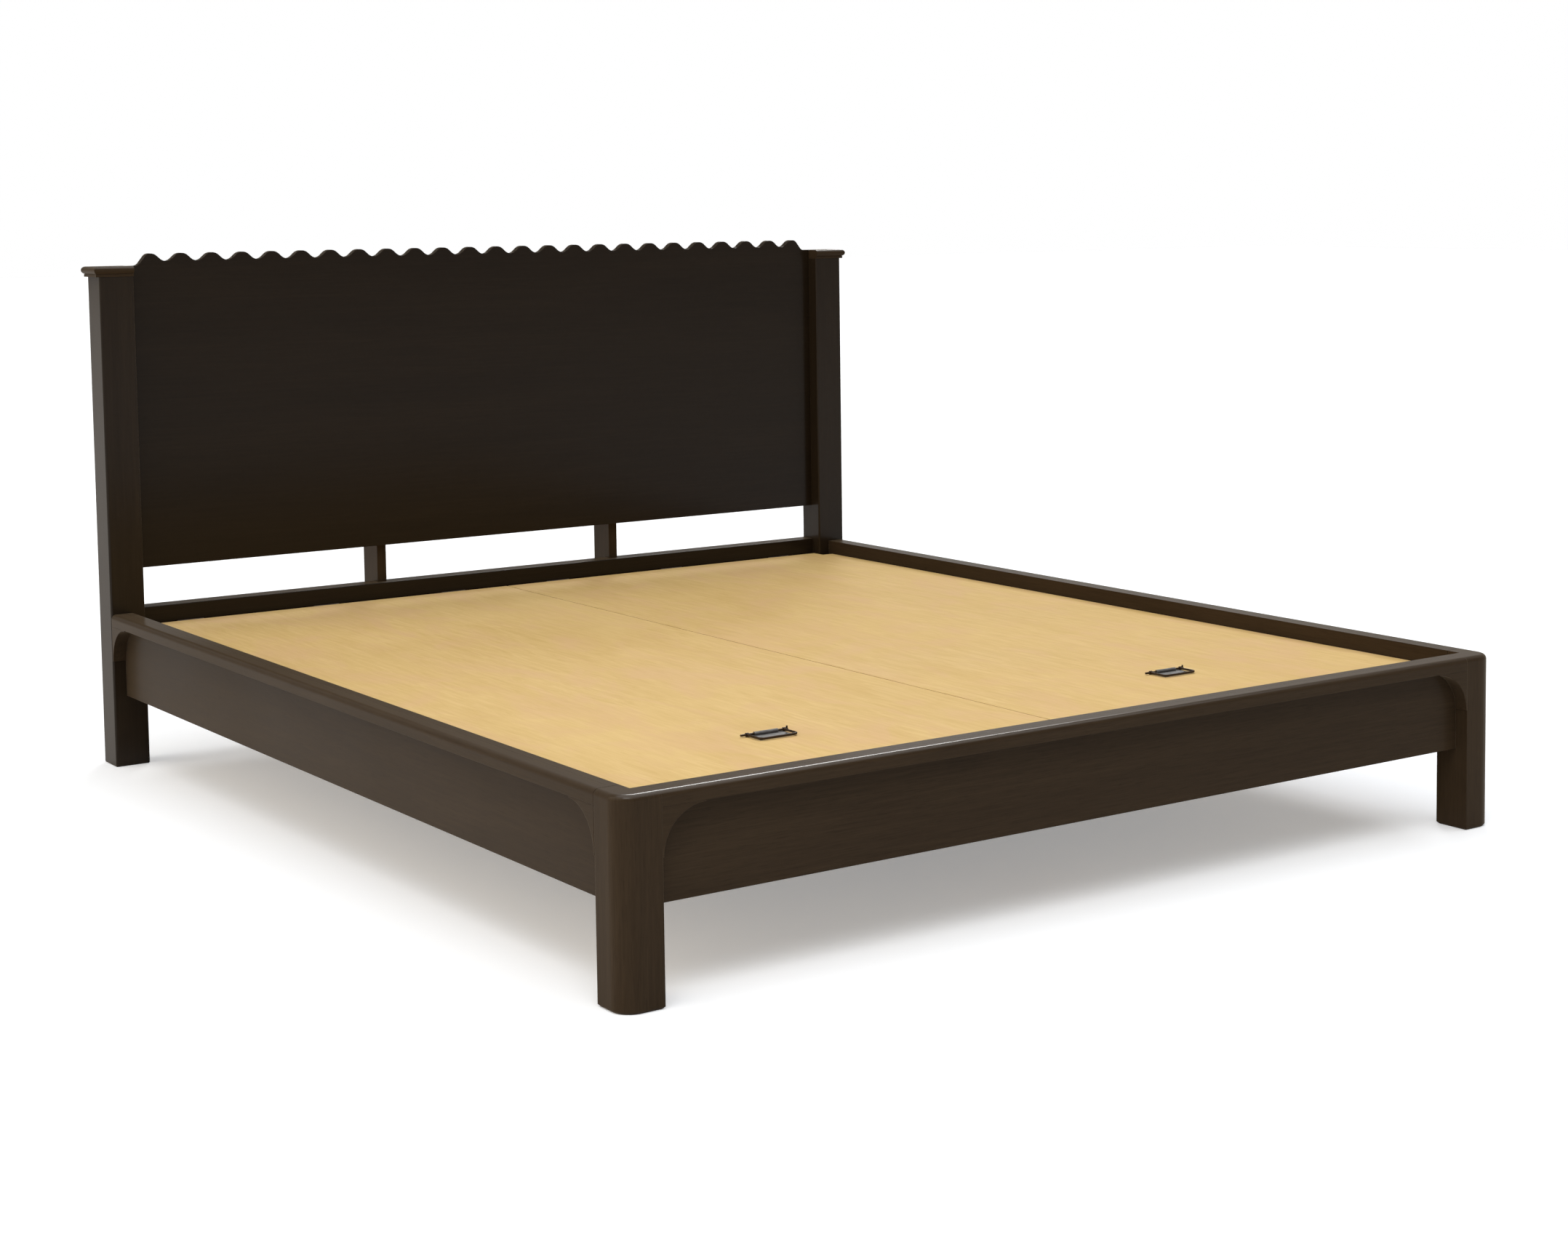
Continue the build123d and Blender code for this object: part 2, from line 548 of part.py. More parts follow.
with BuildPart() as left_handle_plate:
    handle_plate(-LID_CENTRE)

with BuildPart() as right_handle_plate:
    handle_plate(LID_CENTRE)

with BuildPart() as left_handle_pin:
    handle_pin(-LID_CENTRE)

with BuildPart() as right_handle_pin:
    handle_pin(LID_CENTRE)

with BuildPart() as left_handle_bail:
    handle_bail(-LID_CENTRE)

with BuildPart() as right_handle_bail:
    handle_bail(LID_CENTRE)

with BuildPart() as left_handle_screws:
    handle_screws(-LID_CENTRE)

with BuildPart() as right_handle_screws:
    handle_screws(LID_CENTRE)

# ---------------------------------------------------------------- hidden screws
with BuildPart() as cleat_screws:
    bite = CLEAT_SCREW_BITE - SCREW_TIP_GAP
    for d in SIDE_SCREWS_AT:
        for start in (-HALF_WIDTH + WALL - bite, HALF_WIDTH - WALL - CLEAT):
            rod(along(start), d, CLEAT_SCREW_Z, CLEAT_SCREW, CLEAT + bite)
        for start in (-HALF_WIDTH + WALL + CLEAT, HALF_WIDTH - WALL - CLEAT - CLEAT_SCREW_HEAD_HEIGHT):
            rod(along(start), d, CLEAT_SCREW_Z, CLEAT_SCREW_HEAD, CLEAT_SCREW_HEAD_HEIGHT)
    for x in FOOT_SCREWS_AT:
        rod(across(WALL + CLEAT), x, CLEAT_SCREW_Z, CLEAT_SCREW, CLEAT + bite)
        rod(across(WALL + CLEAT + CLEAT_SCREW_HEAD_HEIGHT), x, CLEAT_SCREW_Z, CLEAT_SCREW_HEAD,
            CLEAT_SCREW_HEAD_HEIGHT)

with BuildPart() as rail_hinge_screws:
    for side in (-1, 1):
        for offset in HINGE_OFFSETS:
            for du in HINGE_SCREWS_AT:
                x = side * LID_CENTRE + offset + du
                shank = HINGE_SCREW_DEPTH - SCREW_TIP_GAP
                rod(across(HEAD_RAIL_FRONT + shank), x, RAIL_LEAF_SCREW_Z, RAIL_HINGE_SCREW, shank + LEAF)
                rod(across(HEAD_RAIL_FRONT - LEAF), x, RAIL_LEAF_SCREW_Z, 2 * RAIL_HINGE_SCREW,
                    RAIL_HINGE_SCREW_HEAD)

with BuildPart() as left_lid_hinge_screws:
    for offset in HINGE_OFFSETS:
        for du in HINGE_SCREWS_AT:
            x = -LID_CENTRE + offset + du
            rod(across(LID_HEAD + LEAF), x, LID_LEAF_SCREW_Z, LID_HINGE_SCREW,
                HINGE_SCREW_DEPTH - SCREW_TIP_GAP + LEAF)
            rod(across(LID_HEAD + LEAF + LID_HINGE_SCREW_HEAD), x, LID_LEAF_SCREW_Z, 2 * LID_HINGE_SCREW,
                LID_HINGE_SCREW_HEAD)

with BuildPart() as right_lid_hinge_screws:
    mirror(left_lid_hinge_screws.part, about=Plane.YZ)

# ---------------------------------------------------------------- export
NODES = {
    "left_foot_leg": left_foot_leg,
    "right_foot_leg": right_foot_leg,
    "foot_rail_panel": foot_rail_panel,
    "foot_rail_band": foot_rail_band,
    "left_foot_arch_block": left_foot_arch_block,
    "right_foot_arch_block": right_foot_arch_block,
    "left_side_rail_panel": left_side_rail_panel,
    "right_side_rail_panel": right_side_rail_panel,
    "left_side_rail_band": left_side_rail_band,
    "right_side_rail_band": right_side_rail_band,
    "left_side_front_arch_block": left_side_front_arch_block,
    "left_side_rear_arch_block": left_side_rear_arch_block,
    "right_side_front_arch_block": right_side_front_arch_block,
    "right_side_rear_arch_block": right_side_rear_arch_block,
    "left_headboard_post": left_headboard_post,
    "right_headboard_post": right_headboard_post,
    "left_post_cap": left_post_cap,
    "right_post_cap": right_post_cap,
    "headboard_panel": headboard_panel,
    "head_rail": head_rail,
    "left_headboard_rib": left_headboard_rib,
    "right_headboard_rib": right_headboard_rib,
    "left_side_cleat": left_side_cleat,
    "right_side_cleat": right_side_cleat,
    "foot_cleat": foot_cleat,
    "centre_beam": centre_beam,
    "front_centre_leg": front_centre_leg,
    "rear_centre_leg": rear_centre_leg,
    "centre_leg_glides": centre_leg_glides,
    "left_storage_floor": left_storage_floor,
    "right_storage_floor": right_storage_floor,
    "floor_battens": floor_battens,
    "rail_hook_plates": rail_hook_plates,
    "post_keyhole_plates": post_keyhole_plates,
    "left_platform_panel": left_platform_panel,
    "right_platform_panel": right_platform_panel,
    "lid_hinge_fixed_leaves": lid_hinge_fixed_leaves,
    "lid_hinge_pins": lid_hinge_pins,
    "left_lid_hinge_leaves": left_lid_hinge_leaves,
    "right_lid_hinge_leaves": right_lid_hinge_leaves,
    "left_handle_plate": left_handle_plate,
    "right_handle_plate": right_handle_plate,
    "left_handle_pin": left_handle_pin,
    "right_handle_pin": right_handle_pin,
    "left_handle_bail": left_handle_bail,
    "right_handle_bail": right_handle_bail,
    "left_handle_screws": left_handle_screws,
    "right_handle_screws": right_handle_screws,
    "cleat_screws": cleat_screws,
    "rail_hinge_screws": rail_hinge_screws,
    "left_lid_hinge_screws": left_lid_hinge_screws,
    "right_lid_hinge_screws": right_lid_hinge_screws,
}

os.makedirs("parts", exist_ok=True)
for label, node in NODES.items():
    node.part.label = label
    export_step(node.part, "parts/" + label + ".step")
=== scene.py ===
import json
import math

import bmesh
import bpy
from mathutils import Matrix, Vector


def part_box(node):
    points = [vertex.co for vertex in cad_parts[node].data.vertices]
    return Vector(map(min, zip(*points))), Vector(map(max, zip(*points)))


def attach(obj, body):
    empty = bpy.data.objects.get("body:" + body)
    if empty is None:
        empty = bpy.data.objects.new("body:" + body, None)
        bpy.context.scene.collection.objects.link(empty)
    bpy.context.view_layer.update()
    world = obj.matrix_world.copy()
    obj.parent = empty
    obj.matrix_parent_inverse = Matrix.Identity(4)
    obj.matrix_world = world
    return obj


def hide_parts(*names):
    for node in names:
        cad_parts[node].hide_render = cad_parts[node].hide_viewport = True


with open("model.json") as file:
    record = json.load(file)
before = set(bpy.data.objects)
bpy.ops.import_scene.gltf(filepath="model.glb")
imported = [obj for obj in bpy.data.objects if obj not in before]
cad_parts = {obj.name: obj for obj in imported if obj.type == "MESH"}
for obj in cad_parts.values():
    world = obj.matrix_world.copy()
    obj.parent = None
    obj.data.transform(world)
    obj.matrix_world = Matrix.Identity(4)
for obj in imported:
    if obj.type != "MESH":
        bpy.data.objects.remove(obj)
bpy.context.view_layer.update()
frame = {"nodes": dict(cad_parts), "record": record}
NODES = frame["nodes"]

SIDES = ("left", "right")
WHITE = (1.0, 1.0, 1.0)


# ---------------------------------------------------------------- scene helpers
def add_object(name, data):
    """New scene object that holds the given data."""
    thing = bpy.data.objects.new(name, data)
    bpy.context.scene.collection.objects.link(thing)
    return thing


def direction(azimuth, elevation):
    """Unit vector away from the bed; azimuth 0 points out past the foot and 90 to the right."""
    a = math.radians(azimuth)
    e = math.radians(elevation)
    return Vector((math.sin(a) * math.cos(e), -math.cos(a) * math.cos(e), math.sin(e)))


# ---------------------------------------------------------------- camera
CAMERA_PLACE = (-2.8404, -4.4430, 1.2157)
CAMERA_AZIMUTH = -36.08
CAMERA_ELEVATION = 4.849
CAMERA_ROLL = -0.551
CAMERA_LENS = 59.24
CAMERA_SHIFT = (-0.0731, -0.1338)
SENSOR_WIDTH = 36.0
NEAREST_SEEN = 0.05
FURTHEST_SEEN = 100.0


def make_camera():
    """Camera at the viewing angle, with the shift that the framing needs."""
    back = direction(CAMERA_AZIMUTH, CAMERA_ELEVATION)
    roll = math.radians(CAMERA_ROLL)
    side = (-back).cross(Vector((0, 0, 1))).normalized()
    up = side.cross(-back)
    across = side * math.cos(roll) + up * math.sin(roll)
    above = up * math.cos(roll) - side * math.sin(roll)
    data = bpy.data.cameras.new("camera")
    data.lens = CAMERA_LENS
    data.sensor_width = SENSOR_WIDTH
    data.shift_x, data.shift_y = CAMERA_SHIFT
    data.clip_start = NEAREST_SEEN
    data.clip_end = FURTHEST_SEEN
    camera = add_object("camera", data)
    turn = Matrix((across, above, back)).transposed().to_4x4()
    camera.matrix_world = Matrix.Translation(CAMERA_PLACE) @ turn
    bpy.context.scene.camera = camera


# ---------------------------------------------------------------- material helpers
EVEN = (1.0, 1.0, 1.0)


class Nodes:
    """A new material, with short calls that add its shader nodes and link them."""

    def __init__(self, name):
        self.material = bpy.data.materials.new(name)
        self.material.use_nodes = True
        self.tree = self.material.node_tree
        self.shader = self.tree.nodes["Principled BSDF"]

    def add(self, kind, **settings):
        """New node with the given settings."""
        node = self.tree.nodes.new(kind)
        for key, value in settings.items():
            setattr(node, key, value)
        return node

    def link(self, source, target):
        """Joins an output to an input."""
        self.tree.links.new(source, target)

    def feed(self, socket, value):
        """Links an output to a socket, or sets the socket to a number or a colour."""
        if isinstance(value, bpy.types.NodeSocket):
            self.link(value, socket)
        elif isinstance(value, tuple):
            socket.default_value = (*value, 1.0)
        else:
            socket.default_value = value

    def drive(self, name, source):
        """Links a shader socket to a value that varies over the surface."""
        self.link(source, self.shader.inputs[name])

    def constants(self, values):
        """Sets the shader sockets that are the same all over the surface."""
        for name, value in values.items():
            self.feed(self.shader.inputs[name], value)

    def coords(self, scale, shift=(0, 0, 0)):
        """Object coordinates, scaled per axis and shifted."""
        place = self.add("ShaderNodeTexCoord")
        mapping = self.add("ShaderNodeMapping")
        mapping.inputs["Location"].default_value = shift
        mapping.inputs["Scale"].default_value = scale
        self.link(place.outputs["Object"], mapping.inputs["Vector"])
        return mapping.outputs["Vector"]

    def noise(self, vector, scale, detail=4.0, rough=0.55, warp=0.0):
        """Noise texture, from about 0 to 1."""
        node = self.add("ShaderNodeTexNoise")
        node.inputs["Scale"].default_value = scale
        node.inputs["Detail"].default_value = detail
        node.inputs["Roughness"].default_value = rough
        node.inputs["Distortion"].default_value = warp
        self.link(vector, node.inputs["Vector"])
        return node.outputs["Fac"]

    def ramp(self, fac, stops):
        """Colour ramp from (place, colour) pairs."""
        node = self.add("ShaderNodeValToRGB")
        points = node.color_ramp.elements
        while len(points) < len(stops):
            points.new(0.5)
        for point, (place, colour) in zip(points, stops):
            point.position = place
            point.color = (*colour, 1.0)
        self.link(fac, node.inputs["Fac"])
        return node.outputs["Color"]

    def range(self, value, low, high, start=0.0, end=1.0):
        """Carries start..end over to low..high, clamped."""
        node = self.add("ShaderNodeMapRange")
        node.inputs["From Min"].default_value = start
        node.inputs["From Max"].default_value = end
        node.inputs["To Min"].default_value = low
        node.inputs["To Max"].default_value = high
        self.link(value, node.inputs["Value"])
        return node.outputs["Result"]

    def mix(self, fac, a, b):
        """Colour a where fac is 0 and colour b where it is 1."""
        node = self.add("ShaderNodeMix", data_type="RGBA")
        for socket, value in ((node.inputs[0], fac), (node.inputs[6], a), (node.inputs[7], b)):
            self.feed(socket, value)
        return node.outputs[2]

    def math(self, operation, a, b=0.0):
        """One arithmetic step on outputs or numbers."""
        node = self.add("ShaderNodeMath", operation=operation)
        for socket, value in zip(node.inputs, (a, b)):
            self.feed(socket, value)
        return node.outputs[0]

    def upright_part(self, vector):
        """The Z of a vector."""
        node = self.add("ShaderNodeSeparateXYZ")
        self.link(vector, node.inputs["Vector"])
        return node.outputs["Z"]

    def bump(self, height, strength, distance, below=None):
        """Normal with a fine relief, laid over another normal if one is given."""
        node = self.add("ShaderNodeBump")
        node.inputs["Strength"].default_value = strength
        node.inputs["Distance"].default_value = distance
        self.link(height, node.inputs["Height"])
        if below is not None:
            self.link(below, node.inputs["Normal"])
        return node.outputs["Normal"]

    def worn_edge(self, radius):
        """1 on sharp edges and 0 on flats, with the softened normal."""
        bevel = self.add("ShaderNodeBevel", samples=4)
        bevel.inputs["Radius"].default_value = radius
        geometry = self.add("ShaderNodeNewGeometry")
        dot = self.add("ShaderNodeVectorMath", operation="DOT_PRODUCT")
        self.link(bevel.outputs["Normal"], dot.inputs[0])
        self.link(geometry.outputs["Normal"], dot.inputs[1])
        edge = self.range(dot.outputs["Value"], low=1.0, high=0.0, start=0.80, end=0.995)
        return edge, bevel.outputs["Normal"]


def stretch(axis, along, across):
    """Texture scale that draws the grain out along one axis."""
    scale = [across, across, across]
    scale["XYZ".index(axis)] = along
    return tuple(scale)


def toned(colour, factor):
    """The colour made darker or lighter, and never past white."""
    return tuple(min(1.0, c * factor) for c in colour)


# ---------------------------------------------------------------- dark stained wood
DARK_STAIN = (0.0250, 0.0155, 0.0086)
MID_STAIN = (0.0352, 0.0222, 0.0122)
LIGHT_STAIN = (0.0474, 0.0303, 0.0165)
PATCH_STAIN = (0.0410, 0.0267, 0.0147)
PORE_STAIN = (0.0130, 0.0081, 0.0045)
WORN_STAIN = (0.075, 0.048, 0.030)
STAIN_GLINT = (1.0, 0.80, 0.58)
STAIN_SHEEN = (1.0, 0.78, 0.52)
FINE_SHARE = 0.55
BROAD_SHARE = 0.45
EDGE_WEAR = 0.14
SIDE_COAT = 0.07
TOP_COAT = 0.72
RIGHT_SHIFT = (3.1, 1.7, 0.9)
HEADBOARD_SHIFT = (0.4, 5.2, 2.6)
# Painted shade: the headboard gets a darker copy of the same stain.
HEADBOARD_SHADE_TONE = 0.36
HEADBOARD_SIDE_COAT = 0.27
HEADBOARD_TOP_COAT = 0.35
POST_SHIFT = (1.9, 0.6, 4.4)
# Painted shade: the posts get a darker copy of the same stain.
POST_SHADE_TONE = 0.46
POST_SIDE_COAT = 0.29
POST_TOP_COAT = 0.50
GRAIN_AXIS = {"cap": "X", "rib": "Z", "foot_rail": "X", "foot_arch": "X", "leg": "Z", "side": "Y"}


def stained_wood(name, axis, shift=(0, 0, 0), shade_tone=1.0, side_coat=SIDE_COAT, top_coat=TOP_COAT):
    """Dark espresso stain under a satin coat that is fuller on top, with the grain along an axis."""
    m = Nodes(name)
    # A tone below 1 darkens every stain colour; the headboard and the posts use it as painted shade.
    dark, mid, light, patch = (toned(stain, shade_tone)
                               for stain in (DARK_STAIN, MID_STAIN, LIGHT_STAIN, PATCH_STAIN))
    fine = m.noise(m.coords(stretch(axis, along=2.5, across=60.0), shift),
                   scale=3.0, detail=6.0, rough=0.62, warp=0.25)
    broad = m.noise(m.coords(stretch(axis, along=0.7, across=7.0), shift),
                    scale=1.6, detail=3.0, rough=0.5, warp=0.8)
    cloud = m.noise(m.coords(EVEN, shift), scale=1.7, detail=3.0, rough=0.5)
    pores = m.noise(m.coords(stretch(axis, along=14.0, across=420.0), shift),
                    scale=2.0, detail=2.0, rough=0.5)
    streaks = m.math("ADD", m.math("MULTIPLY", fine, FINE_SHARE),
                     m.math("MULTIPLY", broad, BROAD_SHARE))
    stain = m.ramp(streaks, [(0.30, dark), (0.52, mid), (0.72, light)])
    patchy = m.mix(m.range(cloud, low=0.0, high=0.45, start=0.35, end=0.75), stain, patch)
    pored = m.mix(m.range(pores, low=0.35, high=0.0, start=0.30, end=0.44), patchy, PORE_STAIN)
    edge, soft = m.worn_edge(radius=0.0022)
    rubbed = m.math("MULTIPLY", edge, m.range(fine, low=0.25, high=1.0, start=0.35, end=0.65))
    m.drive("Base Color", m.mix(m.math("MULTIPLY", rubbed, EDGE_WEAR), pored, WORN_STAIN))
    cloudy_gloss = m.range(cloud, low=-0.05, high=0.07, start=0.3, end=0.7)
    m.drive("Roughness", m.math("ADD", cloudy_gloss, m.range(fine, low=0.37, high=0.47)))
    relief = m.bump(streaks, strength=0.10, distance=0.0008, below=soft)
    m.drive("Normal", m.bump(pores, strength=0.12, distance=0.0002, below=relief))
    facing_up = m.upright_part(m.add("ShaderNodeNewGeometry").outputs["Normal"])
    m.drive("Coat Weight", m.range(facing_up, low=side_coat, high=top_coat, start=0.25, end=0.95))
    m.constants({
        "Specular IOR Level": 0.03, "Specular Tint": STAIN_GLINT, "Coat Roughness": 0.20,
        "Sheen Weight": 0.18, "Sheen Roughness": 0.35, "Sheen Tint": STAIN_SHEEN,
    })
    return m.material


def make_dark_woods():
    """The stained woods: one per grain axis for each side, and the headboard's and the posts', which are
    copies darkened as painted shade.
    """
    woods = {axis: stained_wood("espresso_" + axis, axis) for axis in "XYZ"}
    for axis in "XYZ":
        woods["right_" + axis] = stained_wood("espresso_right_" + axis, axis, RIGHT_SHIFT)
    woods["headboard"] = stained_wood("espresso_headboard", "X", HEADBOARD_SHIFT, HEADBOARD_SHADE_TONE,
                                      HEADBOARD_SIDE_COAT, HEADBOARD_TOP_COAT)
    woods["posts"] = stained_wood("espresso_posts", "Z", POST_SHIFT, POST_SHADE_TONE,
                                  POST_SIDE_COAT, POST_TOP_COAT)
    return woods


def pick_dark_wood(name, woods):
    """The stained wood for one node, by the node's name."""
    if name in ("headboard_panel", "head_rail"):
        return woods["headboard"]
    if name.endswith("headboard_post"):
        return woods["posts"]
    family = "right_" if name.startswith("right") else ""
    return woods[family + next(axis for word, axis in GRAIN_AXIS.items() if word in name)]


# ---------------------------------------------------------------- plywood and softwood
LID_VENEER = {
    "light": (0.672, 0.487, 0.222), "mid": (0.602, 0.419, 0.174),
    "deep": (0.540, 0.363, 0.134), "blush": (0.606, 0.394, 0.204),
}
FLOOR_VENEER = {
    "light": (0.60, 0.49, 0.36), "mid": (0.51, 0.41, 0.29),
    "deep": (0.40, 0.31, 0.21), "blush": (0.51, 0.41, 0.29),
}
CROSS_PLY = (0.16, 0.085, 0.035)
# Painted shade: a dark brown laid over the upright plywood edges so the seams between lids look
# shadowed.
SEAM_PAINTED_SHADE = (0.11, 0.065, 0.032)
PLY_LAYER = 0.0018
EDGE_TILT = 0.35
SEAM_SHADE_SHARE = 0.65
RIGHT_LID_SHIFT = (4.3, 2.2, 0.0)
FLOOR_SHIFT = (1.0, 7.0, 0.0)
LID_COAT = 0.01
RING_DARK = (0.36, 0.20, 0.09)
RING_MID = (0.56, 0.36, 0.18)
RING_PALE = (0.66, 0.46, 0.25)
FIBRE_TONE = (0.30, 0.17, 0.08)


def plywood(name, veneer, shift=(0, 0, 0), coat=0.0):
    """Sanded face veneer running along the bed; its edges show the layers and are darkened with painted
    shade, so the seams between boards read dark.
    """
    m = Nodes(name)
    grain = m.noise(m.coords(stretch("Y", along=2.6, across=34.0), shift),
                    scale=3.2, detail=8.0, rough=0.66, warp=0.9)
    figure = m.noise(m.coords(stretch("Y", along=0.55, across=4.2), shift),
                     scale=1.5, detail=4.0, rough=0.55, warp=1.6)
    cloud = m.noise(m.coords(EVEN, shift), scale=2.3, detail=5.0, rough=0.6, warp=0.4)
    fleck = m.noise(m.coords(stretch("Y", along=22.0, across=330.0), shift),
                    scale=1.4, detail=2.0, rough=0.5)
    blush = m.noise(m.coords(stretch("Y", along=0.8, across=1.6), shift),
                    scale=4.7, detail=5.0, rough=0.62, warp=1.2)
    base = m.ramp(grain, [(0.28, veneer["deep"]), (0.50, veneer["mid"]), (0.74, veneer["light"])])
    figured = m.mix(m.range(figure, low=0.0, high=0.52, start=0.42, end=0.72), base, veneer["deep"])
    clouded = m.mix(m.range(cloud, low=0.0, high=0.62, start=0.45, end=0.8), figured, veneer["light"])
    mottled = m.mix(m.range(blush, low=0.0, high=0.62, start=0.46, end=0.66), clouded, veneer["blush"])
    flecked = m.mix(m.range(fleck, low=0.30, high=0.0, start=0.28, end=0.42), mottled, veneer["deep"])
    place = m.add("ShaderNodeTexCoord")
    tilt = m.math("ABSOLUTE", m.upright_part(place.outputs["Normal"]))
    on_edge = m.math("LESS_THAN", tilt, EDGE_TILT)
    layer = m.math("PINGPONG", m.upright_part(place.outputs["Object"]), PLY_LAYER)
    cross_ply = m.range(layer, low=0.75, high=0.0, start=0.0007, end=0.0011)
    layered = m.mix(m.math("MULTIPLY", on_edge, cross_ply), flecked, CROSS_PLY)
    # Painted shade: the upright edges are darkened so the seams between lids look like shadowed gaps.
    m.drive("Base Color", m.mix(m.math("MULTIPLY", on_edge, SEAM_SHADE_SHARE), layered, SEAM_PAINTED_SHADE))
    m.drive("Roughness", m.range(cloud, low=0.66, high=0.82, start=0.3, end=0.7))
    m.drive("Normal", m.bump(m.math("ADD", grain, fleck), strength=0.10, distance=0.0004))
    m.constants({"Specular IOR Level": 0.12, "Coat Weight": coat, "Coat Roughness": 0.45})
    return m.material


def softwood(name):
    """Planed pale timber with streaks like growth rings."""
    m = Nodes(name)
    rings = m.noise(m.coords(stretch("Y", along=0.6, across=22.0)),
                    scale=2.4, detail=5.0, rough=0.55, warp=1.1)
    fibre = m.noise(m.coords(stretch("Y", along=6.0, across=260.0)),
                    scale=2.0, detail=3.0, rough=0.5)
    ringed = m.ramp(rings, [(0.32, RING_DARK), (0.5, RING_MID), (0.7, RING_PALE)])
    fibred = m.mix(m.range(fibre, low=0.0, high=0.25, start=0.4, end=0.7), ringed, FIBRE_TONE)
    m.drive("Base Color", fibred)
    m.drive("Roughness", m.range(fibre, low=0.52, high=0.68))
    m.drive("Normal", m.bump(rings, strength=0.15, distance=0.0005))
    return m.material


# ---------------------------------------------------------------- metal and plastic
ZINC = (0.62, 0.61, 0.58)
HINGE_STEEL = (0.13, 0.105, 0.08)
HANDLE_STEEL = (0.20, 0.195, 0.19)
SCREW_STEEL = (0.14, 0.135, 0.13)
SMUDGED = 0.72
RUBBED = 1.35
RUBBED_SHARE = 0.5
BRUSH_SPREAD = 0.06
LACQUER_DARK = (0.016, 0.010, 0.006)
LACQUER_MID = (0.034, 0.019, 0.010)
LACQUER_WORN = (0.095, 0.050, 0.022)
LACQUER_GLINT = (1.0, 0.80, 0.60)
PLASTIC_DARK = (0.018, 0.018, 0.018)
PLASTIC_LIGHT = (0.030, 0.030, 0.030)


def plated_steel(name, colour, rough):
    """Dull plated steel with fine brushing, smudges and brighter rubbed edges."""
    m = Nodes(name)
    brush = m.noise(m.coords(stretch("X", along=30.0, across=1500.0)),
                    scale=1.0, detail=3.0, rough=0.6)
    smudge = m.noise(m.coords(EVEN), scale=90.0, detail=4.0, rough=0.6, warp=0.6)
    edge, soft = m.worn_edge(radius=0.0005)
    smudged = m.mix(m.range(smudge, low=0.0, high=0.8, start=0.35, end=0.7), colour,
                    toned(colour, SMUDGED))
    m.drive("Base Color", m.mix(m.math("MULTIPLY", edge, RUBBED_SHARE), smudged,
                                toned(colour, RUBBED)))
    brushed = m.range(brush, low=rough - BRUSH_SPREAD, high=rough + BRUSH_SPREAD)
    m.drive("Roughness", m.math("ADD", m.range(smudge, low=0.0, high=0.16, start=0.3, end=0.7), brushed))
    m.drive("Normal", m.bump(brush, strength=0.12, distance=0.00006, below=soft))
    m.constants({"Metallic": 1.0})
    return m.material


def black_lacquer(name):
    """Black lacquer for wire, worn thin and brown in small patches."""
    m = Nodes(name)
    wear = m.noise(m.coords(EVEN), scale=260.0, detail=4.0, rough=0.6)
    m.drive("Base Color", m.ramp(wear, [(0.38, LACQUER_DARK), (0.58, LACQUER_MID),
                                        (0.76, LACQUER_WORN)]))
    m.drive("Roughness", m.range(wear, low=0.26, high=0.42))
    m.drive("Normal", m.bump(wear, strength=0.06, distance=0.0001))
    m.constants({
        "Specular IOR Level": 0.2, "Specular Tint": LACQUER_GLINT,
        "Coat Weight": 0.05, "Coat Roughness": 0.2,
    })
    return m.material


def moulded_plastic(name):
    """Dark moulded plastic."""
    m = Nodes(name)
    grain = m.noise(m.coords(EVEN), scale=700.0, detail=2.0)
    m.drive("Base Color", m.ramp(grain, [(0.3, PLASTIC_DARK), (0.7, PLASTIC_LIGHT)]))
    m.drive("Roughness", m.range(grain, low=0.42, high=0.55))
    m.drive("Normal", m.bump(grain, strength=0.1, distance=0.0001))
    return m.material


# ---------------------------------------------------------------- a material for every node
def paint_nodes():
    """Gives every CAD node its material, by its slot in the record."""
    woods = make_dark_woods()
    lids = {
        "left": plywood("left_face_veneer", LID_VENEER, coat=LID_COAT),
        "right": plywood("right_face_veneer", LID_VENEER, RIGHT_LID_SHIFT, LID_COAT),
    }
    by_slot = {
        "floor_ply": plywood("storage_floor_ply", FLOOR_VENEER, FLOOR_SHIFT),
        "softwood": softwood("planed_softwood"),
        "zinc_steel": plated_steel("zinc_plate", ZINC, rough=0.34),
        "hinge_steel": plated_steel("hinge_plate", HINGE_STEEL, rough=0.45),
        "handle_steel": plated_steel("handle_plate", HANDLE_STEEL, rough=0.56),
        "black_wire": black_lacquer("black_lacquer"),
        "glide_plastic": moulded_plastic("glide_plastic"),
    }
    slots = {row["node"]: row["material_slot"] for row in frame["record"]["subparts"]}
    for name, obj in NODES.items():
        slot = slots[name]
        if slot == "espresso_wood":
            material = pick_dark_wood(name, woods)
        elif slot == "platform_ply":
            material = lids[name.split("_")[0]]
        else:
            material = by_slot[slot]
        obj.data.materials.clear()
        obj.data.materials.append(material)


# ---------------------------------------------------------------- eased edges
EASED_WIDTHS = {
    "headboard_panel": 0.0018, "rib": 0.0015, "side_rail_panel": 0.0020, "foot_rail_panel": 0.0020,
}
WELD_DISTANCE = 0.00002
SHARPEST_KEPT = 50.0


def ease_edges():
    """Softens the square arrises of the panels and the ribs."""
    for name, obj in NODES.items():
        for word, width in EASED_WIDTHS.items():
            if word in name:
                ease(obj, width)


def ease(obj, width):
    """Narrow rounded bevel on the corners that turn more than SHARPEST_KEPT degrees."""
    weld = obj.modifiers.new("join_corners", "WELD")
    weld.merge_threshold = WELD_DISTANCE
    bevel = obj.modifiers.new("eased_edges", "BEVEL")
    bevel.width = width
    bevel.segments = 2
    bevel.limit_method = "ANGLE"
    bevel.angle_limit = math.radians(SHARPEST_KEPT)


